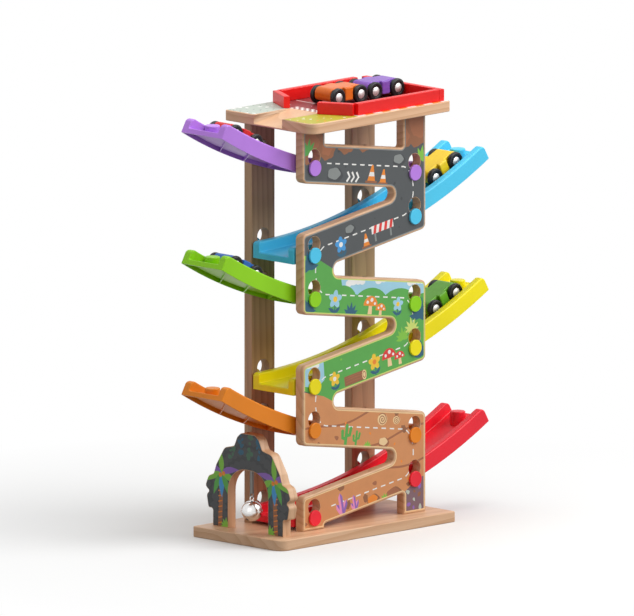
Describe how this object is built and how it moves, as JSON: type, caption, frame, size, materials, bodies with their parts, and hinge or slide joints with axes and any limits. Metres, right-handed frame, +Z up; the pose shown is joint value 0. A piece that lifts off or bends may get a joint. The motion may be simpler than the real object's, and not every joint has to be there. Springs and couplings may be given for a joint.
{
  "type": "click clack track toy",
  "caption": "Wooden race-track tower: cars roll down crossing curved ramps between a zigzag panel and posts, drop from ramp to ramp and pass a bell in an arch.",
  "frame": {"origin": "middle of the tower's footprint, on the surface that the base board stands on", "axes": "+Z up, +X along the ramps away from the arch, -Y towards the printed panel"},
  "size_m": [0.416, 0.138, 0.4919],
  "materials": {
    "birch": "sanded plywood, clear lacquer",
    "fence_red": "red lacquer on wood",
    "arch_print": "printed plywood",
    "tyre_black": "satin",
    "axle_chrome": "polished",
    "bell_chrome": "polished",
    "steel": "plain steel",
    "ramp_red": "moulded, glossy",
    "ramp_orange": "moulded, glossy",
    "ramp_yellow": "moulded, glossy",
    "ramp_green": "moulded, glossy",
    "ramp_blue": "moulded, glossy",
    "ramp_purple": "moulded, glossy",
    "car_red": "coloured lacquer on wood",
    "car_yellow": "coloured lacquer on wood",
    "car_blue": "coloured lacquer on wood",
    "car_green": "coloured lacquer on wood",
    "car_orange": "coloured lacquer on wood",
    "car_purple": "coloured lacquer on wood"
  },
  "bodies": {
    "tower": {"base_board": "birch", "top_board": "birch", "front_panel": "birch", "rear_post_left": "birch", "rear_post_right": "birch", "ramp_red": "ramp_red", "ramp_orange": "ramp_orange", "ramp_yellow": "ramp_yellow", "ramp_green": "ramp_green", "ramp_blue": "ramp_blue", "ramp_purple": "ramp_purple", "pegs_red": "ramp_red", "pegs_orange": "ramp_orange", "pegs_yellow": "ramp_yellow", "pegs_green": "ramp_green", "pegs_blue": "ramp_blue", "pegs_purple": "ramp_purple", "arch": "arch_print", "bell_rod": "steel", "fence_front": "fence_red", "fence_back": "fence_red", "fence_right": "fence_red", "fence_funnel_front": "fence_red", "fence_funnel_back": "fence_red", "base_screws": "steel", "top_dowels": "birch"},
    "bell": {"bell_top_shell": "bell_chrome", "bell_bottom_shell": "bell_chrome", "bell_ball": "steel"},
    "car_red": {"car_red_body": "car_red"},
    "car_red_front": {"car_red_front_axle": "axle_chrome", "car_red_front_wheels": "tyre_black"},
    "car_red_rear": {"car_red_rear_axle": "axle_chrome", "car_red_rear_wheels": "tyre_black"},
    "car_yellow": {"car_yellow_body": "car_yellow"},
    "car_yellow_front": {"car_yellow_front_axle": "axle_chrome", "car_yellow_front_wheels": "tyre_black"},
    "car_yellow_rear": {"car_yellow_rear_axle": "axle_chrome", "car_yellow_rear_wheels": "tyre_black"},
    "car_blue": {"car_blue_body": "car_blue"},
    "car_blue_front": {"car_blue_front_axle": "axle_chrome", "car_blue_front_wheels": "tyre_black"},
    "car_blue_rear": {"car_blue_rear_axle": "axle_chrome", "car_blue_rear_wheels": "tyre_black"},
    "car_green": {"car_green_body": "car_green"},
    "car_green_front": {"car_green_front_axle": "axle_chrome", "car_green_front_wheels": "tyre_black"},
    "car_green_rear": {"car_green_rear_axle": "axle_chrome", "car_green_rear_wheels": "tyre_black"},
    "car_orange": {"car_orange_body": "car_orange"},
    "car_orange_front": {"car_orange_front_axle": "axle_chrome", "car_orange_front_wheels": "tyre_black"},
    "car_orange_rear": {"car_orange_rear_axle": "axle_chrome", "car_orange_rear_wheels": "tyre_black"},
    "car_purple": {"car_purple_body": "car_purple"},
    "car_purple_front": {"car_purple_front_axle": "axle_chrome", "car_purple_front_wheels": "tyre_black"},
    "car_purple_rear": {"car_purple_rear_axle": "axle_chrome", "car_purple_rear_wheels": "tyre_black"}
  },
  "joints": [
    {"name": "car_red_run", "type": "hinge", "parent": "tower", "child": "car_red", "pos_m": [0.096, 0.001, 0.9995], "axis": [0, -1, 0], "range_deg": [-0.25, 22.1]},
    {"name": "car_red_front_spin", "type": "hinge", "parent": "car_red", "child": "car_red_front", "pos_m": [-0.13968, 0.001, 0.44832], "axis": [0, 1, 0], "continuous": true},
    {"name": "car_red_rear_spin", "type": "hinge", "parent": "car_red", "child": "car_red_rear", "pos_m": [-0.171, 0.001, 0.46279], "axis": [0, 1, 0], "continuous": true},
    {"name": "car_yellow_run", "type": "hinge", "parent": "tower", "child": "car_yellow", "pos_m": [-0.096, 0.001, 0.9262], "axis": [0, 1, 0], "range_deg": [-0.25, 22.1]},
    {"name": "car_yellow_front_spin", "type": "hinge", "parent": "car_yellow", "child": "car_yellow_front", "pos_m": [0.13968, 0.001, 0.37502], "axis": [0, 1, 0], "continuous": true},
    {"name": "car_yellow_rear_spin", "type": "hinge", "parent": "car_yellow", "child": "car_yellow_rear", "pos_m": [0.171, 0.001, 0.38949], "axis": [0, 1, 0], "continuous": true},
    {"name": "car_blue_run", "type": "hinge", "parent": "tower", "child": "car_blue", "pos_m": [0.096, 0.001, 0.8529], "axis": [0, -1, 0], "range_deg": [-0.25, 22.1]},
    {"name": "car_blue_front_spin", "type": "hinge", "parent": "car_blue", "child": "car_blue_front", "pos_m": [-0.13968, 0.001, 0.30172], "axis": [0, 1, 0], "continuous": true},
    {"name": "car_blue_rear_spin", "type": "hinge", "parent": "car_blue", "child": "car_blue_rear", "pos_m": [-0.171, 0.001, 0.31619], "axis": [0, 1, 0], "continuous": true},
    {"name": "car_green_run", "type": "hinge", "parent": "tower", "child": "car_green", "pos_m": [-0.096, 0.001, 0.7796], "axis": [0, 1, 0], "range_deg": [-0.25, 22.1]},
    {"name": "car_green_front_spin", "type": "hinge", "parent": "car_green", "child": "car_green_front", "pos_m": [0.13968, 0.001, 0.22842], "axis": [0, 1, 0], "continuous": true},
    {"name": "car_green_rear_spin", "type": "hinge", "parent": "car_green", "child": "car_green_rear", "pos_m": [0.171, 0.001, 0.24289], "axis": [0, 1, 0], "continuous": true},
    {"name": "car_orange_run", "type": "slide", "parent": "tower", "child": "car_orange", "axis": [1, 0, 0], "range_m": [-0.027, 0.002]},
    {"name": "car_orange_front_spin", "type": "hinge", "parent": "car_orange", "child": "car_orange_front", "pos_m": [-0.00485, 0.0075, 0.48165], "axis": [0, 1, 0], "continuous": true},
    {"name": "car_orange_rear_spin", "type": "hinge", "parent": "car_orange", "child": "car_orange_rear", "pos_m": [0.02965, 0.0075, 0.48165], "axis": [0, 1, 0], "continuous": true},
    {"name": "car_purple_run", "type": "slide", "parent": "tower", "child": "car_purple", "axis": [1, 0, 0], "range_m": [-0.002, 0.0009]},
    {"name": "car_purple_front_spin", "type": "hinge", "parent": "car_purple", "child": "car_purple_front", "pos_m": [0.05255, 0.0075, 0.48165], "axis": [0, 1, 0], "continuous": true},
    {"name": "car_purple_rear_spin", "type": "hinge", "parent": "car_purple", "child": "car_purple_rear", "pos_m": [0.08705, 0.0075, 0.48165], "axis": [0, 1, 0], "continuous": true},
    {"name": "bell_swing", "type": "hinge", "parent": "tower", "child": "bell", "pos_m": [-0.1284, 0.002, 0.04905], "axis": [0, 1, 0], "range_deg": [-35, 35]}
  ]
}
